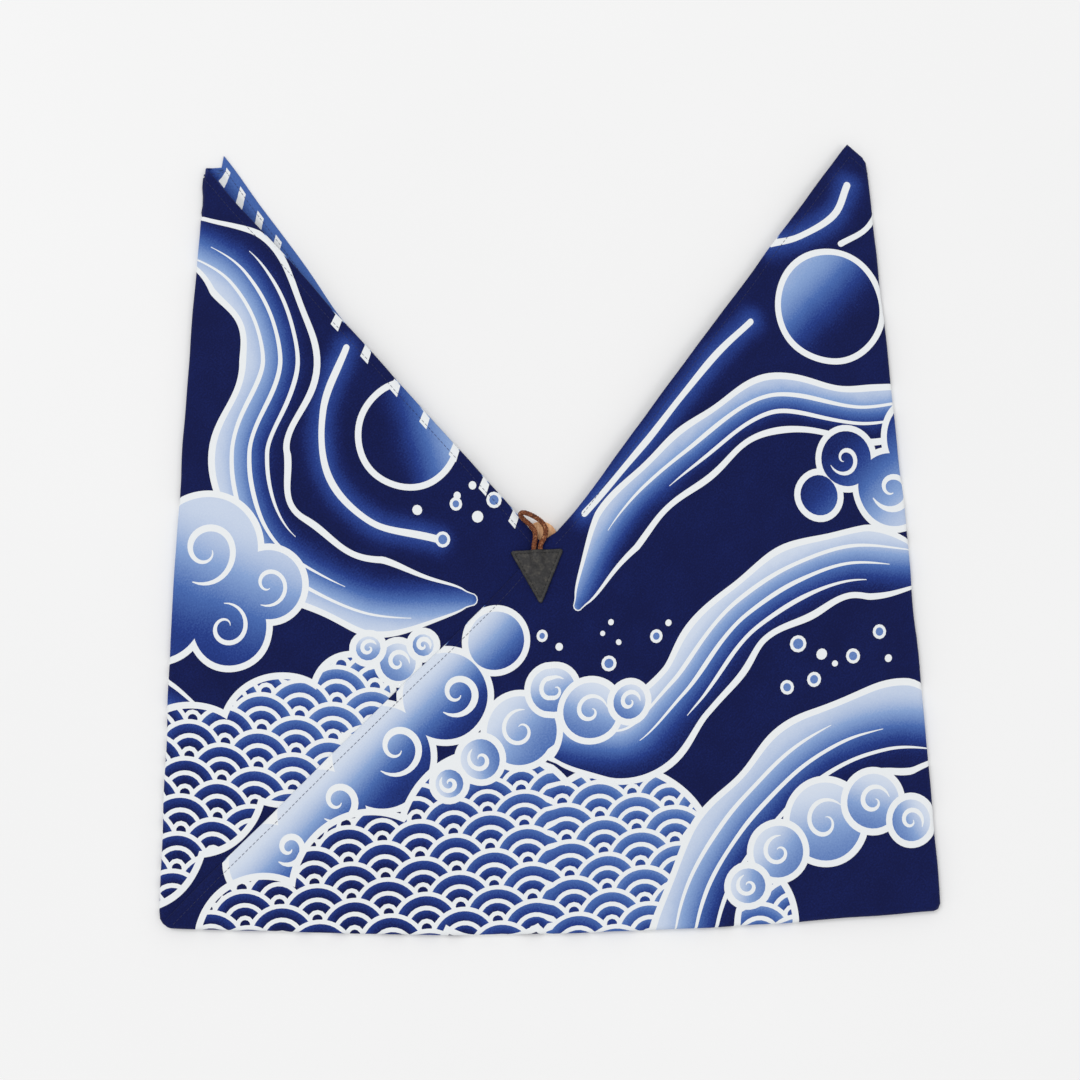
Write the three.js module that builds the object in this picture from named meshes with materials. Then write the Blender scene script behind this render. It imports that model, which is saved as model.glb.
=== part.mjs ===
// Azuma bag: one strip of printed cotton, folded on the bias and joined with two seams, so that
// two corners stand up as tying ends on either side of a V-shaped mouth.
// It lies flat on its back, empty. Millimetres, +Z up, +Y from the bottom fold to the tying ends,
// +X to the right of someone who looks at the front. The origin is under the middle of the bag,
// on the surface that it lies on.

import * as THREE from 'three';

// Cloth
const CLOTH_THICKNESS = 0.8;
const HEM_EXTRA = 0.8;
const SEAM_EXTRA = 0.6;
const FOLD_RADIUS = 2.4;
const EDGE_RISE = 3.6;
const BELLY_RISE = 5.5;

// Outline of the bag as it lies
const BOTTOM_HALF_WIDTH = 247.9;
const BOTTOM_CORNER_Y = -252.5;
const BOTTOM_SAG = 8.9;
const BOTTOM_CORNER_RADIUS = 8;
const LEFT_FOLD_TOP = new THREE.Vector2(-224, 250.5);
const RIGHT_FOLD_TOP = new THREE.Vector2(226.5, 245.5);
const LEFT_TIP = new THREE.Vector2(-212.5, 261.5);
const RIGHT_TIP = new THREE.Vector2(214, 258.5);
const FRONT_VALLEY = new THREE.Vector2(3.5, -14);
const BACK_VALLEY = new THREE.Vector2(3, -13);
const LEFT_SIDE_BOW = 4;
const RIGHT_SIDE_BOW = 2;
const BACK_MOUTH_BOW = 12;

// Steps across half the bag, close together at the fold, the corner of a tip and the hem
const HALF_WIDTH_STEPS = 250;
const FOLD_STEPS = [0, 0.5, 1.8, 4];
const TIP_STEP = 11.5;
const FIELD_STEP = 20;
const HEM_STEPS = [241, 244, 250];

// The front rises away from the folds, and swells further over the body
const RISE_REACH = 50;
const SWELL_REACH = 120;
const MOUTH_FLAT = 45;
const SEAM_FADE_START = 50;
const SEAM_FADE_END = 75;

// Leather patch at the bottom of the mouth
const PATCH_CORNERS = [[-21.5, -19], [14.1, -18], [-1.7, -54]];
const PATCH_CORNER_RADIUS = 1.6;
const PATCH_THICKNESS = 1.5;

// Loop of cord, with both ends held under the patch
const CORD_DIAMETER = 2.8;
const CORD_SIDES = 8;
const CORD_STEPS = 40;
const LOOP_ROUTE = [
  [-5.6, -18.1, 11.2],
  [-5.5, -14.8, 11.3],
  [-4.9, -11.8, 11.3],
  [-4.5, -8.8, 11.3],
  [-4.8, -5.2, 11.3],
  [-6.8, -1.8, 11.3],
  [-9.6, 0.9, 11.4],
  [-12.0, 3.0, 12.0],
  [-13.6, 4.9, 13.7],
  [-13.4, 6.2, 15.9],
  [-11.2, 6.3, 17.2],
  [-8.0, 5.3, 16.7],
  [-4.8, 3.9, 15.2],
  [-1.4, 1.8, 13.4],
  [1.4, -1.3, 12.0],
  [2.5, -5.0, 11.2],
  [1.7, -8.9, 10.9],
  [-0.2, -12.2, 11.0],
  [-1.3, -14.8, 11.2],
  [-1.6, -18.1, 11.2],
];

// Wooden button and its tie, at the bottom of the mouth's back edge
const BUTTON_CENTRE = new THREE.Vector2(-0.7, -8.3);
const BUTTON_RADIUS = 10.5;
const BUTTON_THICKNESS = 3.6;
const BUTTON_EDGE = 0.6;
const BUTTON_HOLE_RADIUS = 1.3;
const BUTTON_HOLE_DROP = 6.5;
const TIE_DIAMETER = 1.4;
const TIE_SIDES = 8;
const TIE_STEPS = 20;

// Clearance between pieces that touch
const GAP = 0.3;

// Heights that follow from the dimensions above
const BACK_MIDDLE = CLOTH_THICKNESS / 2;
const FOLD_MIDDLE = BACK_MIDDLE + FOLD_RADIUS;
const FRONT_MIDDLE = FOLD_MIDDLE + FOLD_RADIUS + EDGE_RISE;
const FRONT_TOP = FRONT_MIDDLE + CLOTH_THICKNESS / 2;
const BACK_HEM_TOP = CLOTH_THICKNESS + HEM_EXTRA;
const BUTTON_BOTTOM = BACK_HEM_TOP + GAP;
const BUTTON_TOP = BUTTON_BOTTOM + BUTTON_THICKNESS;

const bottomMiddle = new THREE.Vector2(0, BOTTOM_CORNER_Y - BOTTOM_SAG);

function material(name, color, roughness) {
  return new THREE.MeshStandardMaterial({ name, color, roughness, metalness: 0 });
}

function smooth(value) {
  return THREE.MathUtils.smoothstep(value, 0, 1);
}

function gridSteps() {
  const steps = [...FOLD_STEPS, TIP_STEP];
  for (let step = FIELD_STEP + 5; step < HEM_STEPS[0] - FIELD_STEP / 2; step += FIELD_STEP) {
    steps.push(step);
  }
  return [...steps, ...HEM_STEPS];
}

const STEPS = gridSteps();
const LAST = STEPS.length - 1;
const TIP_INDEX = STEPS.indexOf(TIP_STEP);
const HEM_INDEX = LAST - 1;

// One quarter of the cloth: half of one layer, from a side fold to the centre line
function quarter(side, layer) {
  const left = side < 0;
  const front = layer === 'front';
  const hasTip = left !== front;
  return {
    side,
    front,
    corner: new THREE.Vector2(side * BOTTOM_HALF_WIDTH, BOTTOM_CORNER_Y),
    foldTop: left ? LEFT_FOLD_TOP : RIGHT_FOLD_TOP,
    tip: hasTip ? (left ? LEFT_TIP : RIGHT_TIP) : null,
    valley: front ? FRONT_VALLEY : BACK_VALLEY,
    sideBow: left ? LEFT_SIDE_BOW : RIGHT_SIDE_BOW,
    mouthBow: front || !left ? 0 : BACK_MOUTH_BOW,
  };
}

// Point of the bottom fold, which sags towards its middle
function bottomPoint(q, index) {
  const share = STEPS[index] / HALF_WIDTH_STEPS;
  const point = q.corner.clone().lerp(bottomMiddle, share);
  point.y = BOTTOM_CORNER_Y - BOTTOM_SAG * Math.sin(share * Math.PI / 2);
  return point;
}

// Point of the mouth's edge, which turns a corner at a tip where this quarter has one
function mouthPoint(q, index) {
  const share = STEPS[index] / HALF_WIDTH_STEPS;
  if (!q.tip) {
    return q.foldTop.clone().lerp(q.valley, share);
  }
  if (index <= TIP_INDEX) {
    return q.foldTop.clone().lerp(q.tip, STEPS[index] / TIP_STEP);
  }
  const along = (STEPS[index] - TIP_STEP) / (HALF_WIDTH_STEPS - TIP_STEP);
  const edge = q.valley.clone().sub(q.tip);
  const inward = new THREE.Vector2(edge.y, -edge.x).normalize().multiplyScalar(-q.side);
  const bow = q.mouthBow * Math.sin(along * Math.PI);
  return q.tip.clone().lerp(q.valley, along).addScaledVector(inward, bow);
}

// Plan position of a grid point. The seam runs along the grid's diagonal, corner to valley.
function planPoint(q, column, row) {
  const seam = q.corner.clone().lerp(q.valley, STEPS[column] / HALF_WIDTH_STEPS);
  seam.y += (bottomPoint(q, column).y - BOTTOM_CORNER_Y) * (1 - STEPS[column] / HALF_WIDTH_STEPS);
  const start = row < column ? bottomPoint(q, column) : seam;
  const end = row < column ? seam : mouthPoint(q, column);
  const from = row < column ? 0 : STEPS[column];
  const to = row < column ? STEPS[column] : HALF_WIDTH_STEPS;
  const share = to > from ? (STEPS[row] - from) / (to - from) : 1;
  const point = start.clone().lerp(end, share);
  const acrossHalf = STEPS[column] / HALF_WIDTH_STEPS;
  const upSide = STEPS[row] / HALF_WIDTH_STEPS;
  point.x += q.side * q.sideBow * Math.sin(upSide * Math.PI) * (1 - acrossHalf);
  return point;
}

// Distances of a grid point from the side fold and the bottom fold
function foldDistances(q, column, row, point) {
  const sidePoint = planPoint(q, 0, row);
  const slope = (q.foldTop.x - q.corner.x) / (q.foldTop.y - q.corner.y);
  const sideX = sidePoint.x + slope * (point.y - sidePoint.y);
  return {
    fromSide: column === 0 ? 0 : Math.max(Math.abs(point.x - sideX), STEPS[column] / 2),
    fromBottom: row === 0 ? 0 : point.y - bottomPoint(q, column).y,
  };
}

// Rounds the bottom corner: the square of its radius becomes a quarter disc
function roundCorner(q, point, fromSide, fromBottom) {
  const across = Math.max(0, 1 - fromSide / BOTTOM_CORNER_RADIUS);
  const up = Math.max(0, 1 - fromBottom / BOTTOM_CORNER_RADIUS);
  const acrossCut = across * (1 - Math.sqrt(1 - up * up / 2));
  const upCut = up * (1 - Math.sqrt(1 - across * across / 2));
  point.x -= q.side * BOTTOM_CORNER_RADIUS * acrossCut;
  point.y += BOTTOM_CORNER_RADIUS * upCut;
}

function foldProfile(distance) {
  const inside = Math.max(0, 1 - distance / FOLD_RADIUS);
  return Math.sqrt(1 - inside * inside);
}

function distanceToMouth(point) {
  const target = new THREE.Vector3(point.x, point.y, 0);
  const nearest = new THREE.Vector3();
  const valley = new THREE.Vector3(FRONT_VALLEY.x, FRONT_VALLEY.y, 0);
  const distances = [LEFT_TIP, RIGHT_TIP].map((tip) => {
    const edge = new THREE.Line3(valley, new THREE.Vector3(tip.x, tip.y, 0));
    edge.closestPointToPoint(target, true, nearest);
    return nearest.distanceTo(target);
  });
  return Math.min(...distances);
}

function middleHeight(q, point, fromSide, fromBottom) {
  const profile = foldProfile(fromSide) * foldProfile(fromBottom);
  const rise = EDGE_RISE * smooth(fromSide / RISE_REACH) * smooth(fromBottom / RISE_REACH);
  const swell = BELLY_RISE
    * smooth(fromSide / SWELL_REACH)
    * smooth(fromBottom / SWELL_REACH)
    * smooth((distanceToMouth(point) - MOUTH_FLAT) / SWELL_REACH);
  const frontHeight = FOLD_MIDDLE + FOLD_RADIUS + rise + swell;
  const layerHeight = q.front ? frontHeight : BACK_MIDDLE;
  return FOLD_MIDDLE + (layerHeight - FOLD_MIDDLE) * profile;
}

// Extra thickness of the hems, turned to the inside, and of the two seams
function extras(q, column, row, point) {
  const hem = row >= HEM_INDEX ? HEM_EXTRA : 0;
  const seamed = q.front === (q.side < 0);
  const onSeam = seamed && row === column && row > 0 && row < HEM_INDEX;
  const fromValley = point.distanceTo(q.valley);
  const fade = THREE.MathUtils.smoothstep(fromValley, SEAM_FADE_START, SEAM_FADE_END);
  const seam = onSeam ? SEAM_EXTRA * fade : 0;
  return { outside: q.front ? seam : 0, inside: hem + (q.front ? 0 : seam) };
}

// The cloth's middle surface: points of both layers, which share those along the folds
function middleSurface() {
  const points = [];
  const numbers = new Map();
  const faces = [];
  const columns = 2 * LAST + 1;

  function number(layer, column, row) {
    const onFold = column === 0 || column === columns - 1 || row === 0;
    const key = `${onFold ? 'fold' : layer}:${column}:${row}`;
    if (!numbers.has(key)) {
      const left = column <= LAST;
      const q = quarter(left ? -1 : 1, layer);
      const own = left ? column : columns - 1 - column;
      const point = planPoint(q, own, row);
      const { fromSide, fromBottom } = foldDistances(q, own, row, point);
      const height = middleHeight(q, point, fromSide, fromBottom);
      const extra = extras(q, own, row, point);
      roundCorner(q, point, fromSide, fromBottom);
      numbers.set(key, points.length);
      points.push({ place: new THREE.Vector3(point.x, point.y, height), ...extra });
    }
    return numbers.get(key);
  }

  for (const layer of ['front', 'back']) {
    for (let column = 0; column < columns - 1; column += 1) {
      for (let row = 0; row < LAST; row += 1) {
        const a = number(layer, column, row);
        const b = number(layer, column + 1, row);
        const c = number(layer, column + 1, row + 1);
        const d = number(layer, column, row + 1);
        const pair = column < LAST ? [[a, b, c], [a, c, d]] : [[a, b, d], [b, c, d]];
        for (const face of pair) {
          faces.push(layer === 'front' ? face : [face[0], face[2], face[1]]);
        }
      }
    }
  }

  const rim = [];
  for (let column = 0; column < columns; column += 1) {
    rim.push(number('front', column, LAST));
  }
  for (let column = columns - 2; column > 0; column -= 1) {
    rim.push(number('back', column, LAST));
  }
  return { points, faces, rim };
}

function pointNormals(points, faces) {
  const normals = points.map(() => new THREE.Vector3());
  const normal = new THREE.Vector3();
  const edge = new THREE.Vector3();
  for (const [a, b, c] of faces) {
    normal.subVectors(points[b].place, points[a].place);
    edge.subVectors(points[c].place, points[a].place);
    normal.cross(edge);
    for (const index of [a, b, c]) {
      normals[index].add(normal);
    }
  }
  return normals.map((sum) => sum.normalize());
}

// The cloth as a closed solid: an outer skin, an inner skin and the rim along the mouth
function bagGeometry() {
  const { points, faces, rim } = middleSurface();
  const normals = pointNormals(points, faces);
  const half = CLOTH_THICKNESS / 2;
  const vertices = [];
  points.forEach((point, index) => {
    const outer = point.place.clone().addScaledVector(normals[index], half + point.outside);
    vertices.push(outer.x, outer.y, outer.z);
  });
  points.forEach((point, index) => {
    const inner = point.place.clone().addScaledVector(normals[index], -half - point.inside);
    vertices.push(inner.x, inner.y, inner.z);
  });

  const shift = points.length;
  const triangles = [];
  for (const [a, b, c] of faces) {
    triangles.push(a, b, c, a + shift, c + shift, b + shift);
  }
  rim.forEach((from, place) => {
    const to = rim[(place + 1) % rim.length];
    triangles.push(from, to, to + shift, from, to + shift, from + shift);
  });

  const geometry = new THREE.BufferGeometry();
  geometry.setAttribute('position', new THREE.Float32BufferAttribute(vertices, 3));
  geometry.setIndex(triangles);
  geometry.computeVertexNormals();
  return geometry;
}

function makeBag() {
  return new THREE.Mesh(bagGeometry(), material('cloth', 0x1b2152, 0.9));
}

// Outline of a polygon with rounded corners
function roundedOutline(corners, radius) {
  const shape = new THREE.Shape();
  corners.forEach(([x, y], index) => {
    const corner = new THREE.Vector2(x, y);
    const before = new THREE.Vector2(...corners.at(index - 1));
    const after = new THREE.Vector2(...corners[(index + 1) % corners.length]);
    const start = corner.clone().addScaledVector(before.sub(corner).normalize(), radius);
    const end = corner.clone().addScaledVector(after.sub(corner).normalize(), radius);
    if (index === 0) {
      shape.moveTo(start.x, start.y);
    } else {
      shape.lineTo(start.x, start.y);
    }
    shape.quadraticCurveTo(corner.x, corner.y, end.x, end.y);
  });
  shape.closePath();
  return shape;
}

function makePatch() {
  const outline = roundedOutline(PATCH_CORNERS, PATCH_CORNER_RADIUS);
  const geometry = new THREE.ExtrudeGeometry(outline, {
    depth: PATCH_THICKNESS,
    bevelEnabled: false,
    curveSegments: 4,
  });
  const mesh = new THREE.Mesh(geometry, material('leather', 0x2d2f2f, 0.6));
  mesh.position.z = FRONT_TOP + GAP;
  return mesh;
}

function roundSection(diameter, sides) {
  const corners = [];
  for (let side = 0; side < sides; side += 1) {
    const angle = (side / sides) * 2 * Math.PI;
    corners.push(new THREE.Vector2(Math.cos(angle), Math.sin(angle)).multiplyScalar(diameter / 2));
  }
  return new THREE.Shape(corners);
}

function tubeAlong(route, diameter, sides, steps) {
  const path = new THREE.CatmullRomCurve3(route.map((place) => new THREE.Vector3(...place)));
  return new THREE.ExtrudeGeometry(roundSection(diameter, sides), {
    extrudePath: path,
    steps,
    bevelEnabled: false,
  });
}

function makeCordLoop() {
  const geometry = tubeAlong(LOOP_ROUTE, CORD_DIAMETER, CORD_SIDES, CORD_STEPS);
  return new THREE.Mesh(geometry, material('cord', 0x5a2a1c, 0.7));
}

function makeButton() {
  const outline = new THREE.Shape();
  outline.absarc(0, 0, BUTTON_RADIUS - BUTTON_EDGE, 0, 2 * Math.PI, false);
  const hole = new THREE.Path();
  hole.absarc(0, -BUTTON_HOLE_DROP, BUTTON_HOLE_RADIUS + BUTTON_EDGE / 2, 0, 2 * Math.PI, true);
  outline.holes.push(hole);
  const geometry = new THREE.ExtrudeGeometry(outline, {
    depth: BUTTON_THICKNESS - 2 * BUTTON_EDGE,
    bevelThickness: BUTTON_EDGE,
    bevelSize: BUTTON_EDGE,
    bevelSegments: 2,
    curveSegments: 16,
  });
  const mesh = new THREE.Mesh(geometry, material('wood', 0xd2a06f, 0.55));
  mesh.position.set(BUTTON_CENTRE.x, BUTTON_CENTRE.y, BUTTON_BOTTOM + BUTTON_EDGE);
  return mesh;
}

// The tie comes up outside the button's edge, over it, and down through the hole
function makeButtonTie() {
  const x = BUTTON_CENTRE.x;
  const outerLeg = BUTTON_CENTRE.y - BUTTON_RADIUS - GAP - TIE_DIAMETER / 2;
  const innerLeg = BUTTON_CENTRE.y - BUTTON_HOLE_DROP;
  const top = BUTTON_TOP + GAP + TIE_DIAMETER / 2;
  const foot = BACK_HEM_TOP + GAP;
  const route = [
    [x, outerLeg, foot],
    [x, outerLeg, foot + 1.5],
    [x, outerLeg, BUTTON_TOP - 0.4],
    [x, outerLeg + 0.9, top - 0.15],
    [x, (outerLeg + innerLeg) / 2, top],
    [x, innerLeg - 0.9, top - 0.15],
    [x, innerLeg, BUTTON_TOP - 0.4],
    [x, innerLeg, foot + 1.5],
    [x, innerLeg, foot],
  ];
  const geometry = tubeAlong(route, TIE_DIAMETER, TIE_SIDES, TIE_STEPS);
  return new THREE.Mesh(geometry, material('tie', 0x5a2a1c, 0.7));
}

const parts = {
  bag_cloth: makeBag(),
  front_patch: makePatch(),
  cord_loop: makeCordLoop(),
  wooden_button: makeButton(),
  button_tie: makeButtonTie(),
};

const azumaBag = new THREE.Group();
for (const [name, mesh] of Object.entries(parts)) {
  mesh.name = name;
  azumaBag.add(mesh);
}

export default azumaBag;
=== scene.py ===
"""Azuma bag: a strip of indigo-dyed cotton, folded on the bias and sewn, lying flat on its back.

The cloth is made as the real one is: the flat strip carries the dyed pattern, and one function
lays it into the folded bag. Lengths of the strip and the bag are in millimetres, and become
metres where a mesh is made. The camera, the weave, the room and the lamps are in metres.
"""

import math

import bpy
import numpy as np
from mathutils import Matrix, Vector, geometry, kdtree, noise


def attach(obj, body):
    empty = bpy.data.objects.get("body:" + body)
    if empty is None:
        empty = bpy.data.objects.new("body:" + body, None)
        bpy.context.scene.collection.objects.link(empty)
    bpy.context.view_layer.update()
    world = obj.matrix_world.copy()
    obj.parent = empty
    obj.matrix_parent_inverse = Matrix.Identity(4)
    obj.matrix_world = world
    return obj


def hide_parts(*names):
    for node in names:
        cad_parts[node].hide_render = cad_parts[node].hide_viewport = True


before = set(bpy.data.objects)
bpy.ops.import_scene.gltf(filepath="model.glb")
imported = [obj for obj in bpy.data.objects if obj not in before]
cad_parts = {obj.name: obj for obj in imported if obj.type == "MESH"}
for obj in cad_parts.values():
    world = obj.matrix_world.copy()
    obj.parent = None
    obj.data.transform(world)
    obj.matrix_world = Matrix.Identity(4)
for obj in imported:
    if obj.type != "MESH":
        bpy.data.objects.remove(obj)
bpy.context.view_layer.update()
MM = 0.001
FAR = 1000.0

# Camera, almost straight above the bag
CAMERA_ELEVATION = math.radians(81.9)
CAMERA_TURN = math.radians(-1.2)
CAMERA_DISTANCE = 0.95
CAMERA_TARGET = Vector((-0.0014, -0.0094, 0.0))
CAMERA_LENS = 48

# Flat strip: three fields, each THIRD long, and the allowance of its seams
STRIP_WIDTH = 358.0
THIRD = 350.0
ALLOWANCE = 8.0
TAPER_START = 6.0
TAPER_END = 20.0
BOTTOM = math.hypot(THIRD, STRIP_WIDTH)
FOLD_START = np.array([0.0, STRIP_WIDTH])
ALONG = np.array([THIRD, -STRIP_WIDTH]) / BOTTOM
UPWARD = np.array([STRIP_WIDTH, THIRD]) / BOTTOM
FOLD_HEIGHT = THIRD * BOTTOM / STRIP_WIDTH
TIP_HEIGHT = 2 * THIRD * STRIP_WIDTH / BOTTOM
TIP_INSET = BOTTOM - 2 * THIRD ** 2 / BOTTOM

# Cloth, its hems and its seams
CLOTH = 0.55
HEM_WIDTH = 8.0
HEM_STEP = 0.6
HEM_EXTRA = 0.75
HEM_STITCH = 5.0
GROOVE_DEPTH = 0.22
GROOVE_WIDTH = 0.8
GROOVE_EDGE = 0.9
HEM_END = 4.0
HEM_END_FADE = 10.0
SEAM_EXTRA = 0.5
SEAM_REACH = 9.0
SEAM_END_FADE = 25.0
FRONT_LAP_LIFT = 0.7
FRONT_LAP_SINK = 0.45
UNDER_LAP_DROP = 0.5
UNDER_LAP_SINK = 0.35
BACK_LAP_LIFT = 1.15

# Folds, and how the layers rise from them
FOLD_RADIUS = 2.4
FOLD_CLEARANCE = 0.4
FOLD_MIDDLE = FOLD_CLEARANCE + FOLD_RADIUS
BACK_CLEARANCE = 0.02
BACK_MIDDLE = CLOTH / 2 + BACK_CLEARANCE
EDGE_RISE = 3.6
RISE_REACH = 50.0
BELLY_RISE = 5.5
SWELL_REACH = 120.0
MOUTH_FLAT = 45.0

# Waves of the front, puckers along its hems, and how far the cloth wanders sideways
BROAD_WAVE = 95.0
BROAD_HEIGHT = 2.0
SMALL_WAVE = 34.0
SMALL_HEIGHT = 0.9
WAVE_FADE = 60.0
PUCKER_WAVE = 13.0
PUCKER_HEIGHT = 0.7
PUCKER_REACH = 14.0
EDGE_WANDER = 0.9

# Around the mouth's valley, a radius and the fade past it: of the cloth without waves, of the
# cloth that doesn't wander, and of the sunk seam
CALM = (40.0, 60.0)
STEADY = (25.0, 40.0)
SUNK = (30.0, 45.0)

# Outline of the bag as it lies
BOTTOM_HALF_WIDTH = 247.9
BOTTOM_CORNER_Y = -252.5
BOTTOM_SAG = 8.9
LEFT_CORNER_RADIUS = 8.0
RIGHT_CORNER_RADIUS = 4.5
LEFT_FOLD_TOP = np.array([-224.0, 252.5])
RIGHT_FOLD_TOP = np.array([226.5, 245.5])
LEFT_TIP = np.array([-212.5, 263.5])
LEFT_TIP_FOOT = np.array([-214.0, 251.5])
RIGHT_TIP = np.array([212.5, 259.0])
FRONT_VALLEY = np.array([3.5, -14.0])
FRONT_VALLEY_ROUND = np.array([1.2, -12.3])
BACK_VALLEY = np.array([3.0, -13.0])
LEFT_SIDE_BOW = 4.0
RIGHT_SIDE_BOW = 2.0
BACK_MOUTH_BOW = 11.0
BOW_SKEW = 1.4
SIDE_STEPS = 11
MOUTH_STEPS = 25
SEAM_STEPS = 7

# Soft creases of the front: from, to, half width and height
CREASES = [
    ((-34, -64), (-128, -176), 9.0, 1.3),
    ((26, -62), (104, -186), 10.0, 1.4),
    ((196, 214), (140, 84), 9.0, 1.1),
    ((-206, 190), (-146, 62), 9.0, 1.1),
    ((-206, -196), (-70, -222), 8.0, 1.2),
    ((84, -216), (212, -168), 9.0, 1.2),
    ((60, 30), (196, 66), 10.0, 1.0),
    ((-222, -40), (-150, -84), 8.0, 1.0),
    ((226, -60), (150, -96), 8.0, 1.0),
]
CREASE_DIP = 0.45
CREASE_DIP_WIDTH = 2.3
CREASE_OVERRUN = 0.1
CREASE_FADE = 0.45

# Loop of cord
CORD_DIAMETER = 2.8
CORD_SWELL = 1.2
CORD_STRANDS = 3
CORD_PITCH = 5.4
CORD_STEP = 0.35
STRAND_SHARE = 0.27
STRAND_SIDES = 12
LOOP_ROUTE = [
    (-5.6, -18.1, 11.2), (-5.5, -14.8, 11.3), (-4.9, -11.8, 11.3), (-4.5, -8.8, 11.3),
    (-4.8, -5.2, 11.3), (-6.8, -1.8, 11.3), (-9.6, 0.9, 11.4), (-12.0, 3.0, 12.0),
    (-13.6, 4.9, 13.7), (-13.4, 6.2, 15.9), (-11.2, 6.3, 17.2), (-8.0, 5.3, 16.7),
    (-4.8, 3.9, 15.2), (-1.4, 1.8, 13.4), (1.4, -1.3, 12.0), (2.5, -5.0, 11.2),
    (1.7, -8.9, 10.9), (-0.2, -12.2, 11.0), (-1.3, -14.8, 11.2), (-1.6, -18.1, 11.2),
]

# Leather patch
PATCH_CORNERS = np.array([(-21.5, -17.7), (14.1, -16.7), (-1.7, -54.0)])
PATCH_THICKNESS = 1.5
PATCH_BOTTOM = 9.35
PATCH_RIM = 0.5
PATCH_ROUND_WIDTH = 0.8
PATCH_ROUND_RISE = 1.1
PATCH_GROOVE_DEPTH = 0.4
PATCH_GROOVE_WIDTH = 0.7
PATCH_CORNER_RADIUS = 1.6
PATCH_CORNER_STEPS = 8
PATCH_OUTLINE_STEP = 0.6
PATCH_GRID_STEP = 0.75
PATCH_GRID_INSET = 0.35
PATCH_MERGE_DISTANCE = 0.001
PATCH_EDGE_RINGS = (0.24, 0.8)

# Bulge of the patch over the ends of the cord
BULGE_HEIGHT = 2.5
BULGE_X = -3.6
BULGE_HALF_WIDTH = 4.2
BULGE_END_Y = -33.0
BULGE_FADE = 11.0

# Stitches: where a stitch is along its length, its width there and its height, in radii
STITCH_PROFILE = [(0.0, 0.35, -0.7), (0.16, 0.85, 0.0), (0.5, 1.0, 0.35), (0.84, 0.85, 0.0),
                  (1.0, 0.35, -0.7)]
STITCH_SIDES = 6
STITCH_STAND = 0.3
STITCH_PITCH = 3.1
STITCH_LENGTH = 2.4
STITCH_RADIUS = 0.17
STITCH_CLEAR = 1.4
STITCH_PAST_EDGE = 2.0
STITCH_FOLD_GAP = 4.0
STITCH_LAP_GAP = 10.0
PATCH_STITCH_INSET = 2.2
PATCH_STITCH_PITCH = 2.7
PATCH_STITCH_GAP = 0.1
PATCH_STITCH_RADIUS = 0.27

# Dyed pattern
LINE = 4.2
FINE_LINE = 2.8
CURVE_STEP = 3.2
GLOW_REACH = 17.0
BRUSH_CAP = np.radians([-60, -30, 0, 30, 60])[:, None]
BRUSH_UNEVEN = 0.08
BRUSH_WAVE = 11.0
BRUSH_THINNEST = 0.03
LINE_TAPER = 0.3
STREAM_TAPER = 0.16
CURL_END = 0.18
CURL_DENSITY = 0.8
CURL_LEAST = 8
FAN_RADIUS = 23.0
FAN_RINGS = (1.0, 0.62, 0.27)
FAN_CORE = 0.45
FAN_PALER = 0.3
DROP_RADII = (1.8, 5.5)
DROP_RING_FROM = 3.9
DROP_RING_WIDTH = 2.0

# Triangles of the strip
GRID_STEP = 5.5
GRID_CLEAR = 0.45 * GRID_STEP
FOLD_LINES = np.linspace(-FOLD_RADIUS, FOLD_RADIUS, 7) * 1.7
MERGE_DISTANCE = 0.02
LEAST_AREA = 5e-5

# Flat map of the cloth: its size, where its inner face starts, and the two bands of its edge
MAP_SIZE = np.array([3 * THIRD + 2 * ALLOWANCE, 2.2 * (STRIP_WIDTH + 2 * ALLOWANCE)])
MAP_INNER = 0.48
MAP_EDGES = (0.965, 0.985)
MAP_EDGE_WIDTH = 0.01

# Weave, and how unevenly the dye takes
WEAVE_PITCH = 0.00046
DYE_FULL = 0.97
DYE_CLOUD = 0.16
DYE_FLECK = 0.3

# Room and light
FLOOR_HALF = 6.0
FLOOR_LEVEL = -0.0002
BACKDROP = (242, 242, 242)
WORLD_LIGHT = 0.74
KEY_PLACE = (-2.6, 2.4, 5.4)
FILL_PLACE = (3.4, -2.2, 5.2)


# Camera

def make_camera():
    data = bpy.data.cameras.new("camera")
    data.lens = CAMERA_LENS
    data.clip_end = 100
    camera = bpy.data.objects.new("camera", data)
    camera.rotation_euler = (math.pi / 2 - CAMERA_ELEVATION, 0, CAMERA_TURN)
    turn = camera.rotation_euler.to_matrix()
    camera.location = CAMERA_TARGET + turn @ Vector((0, 0, CAMERA_DISTANCE))
    bpy.context.scene.collection.objects.link(camera)
    bpy.context.scene.camera = camera


make_camera()


# Lines and meshes

def smooth(value):
    value = np.clip(value, 0, 1)
    return value * value * (3 - 2 * value)


def lengths(vectors):
    return np.linalg.norm(vectors, axis=-1)


def unit(vectors):
    return vectors / np.maximum(lengths(vectors), 1e-9)[..., None]


def travelled(line):
    """Length of a line up to each of its points."""
    return np.concatenate([[0], np.cumsum(lengths(np.diff(line, axis=0)))])


def between(start, end, count):
    share = np.linspace(0, 1, count)[:, None]
    return np.asarray(start) * (1 - share) + np.asarray(end) * share


def spline(points, step):
    """A smooth line through points, with a vertex about every step."""
    points = np.asarray(points, float)
    padded = np.vstack([2 * points[:1] - points[1:2], points, 2 * points[-1:] - points[-2:-1]])
    out = []
    for k in range(len(points) - 1):
        a, b, c, d = padded[k:k + 4]
        pieces = max(1, int(round(lengths(c - b) / step)))
        t = (np.arange(pieces) / pieces)[:, None]
        out.append(0.5 * (2 * b + (c - a) * t + (2 * a - 5 * b + 4 * c - d) * t ** 2
                          + (3 * b - a - 3 * c + d) * t ** 3))
    return np.vstack(out + [points[-1:]])


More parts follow.
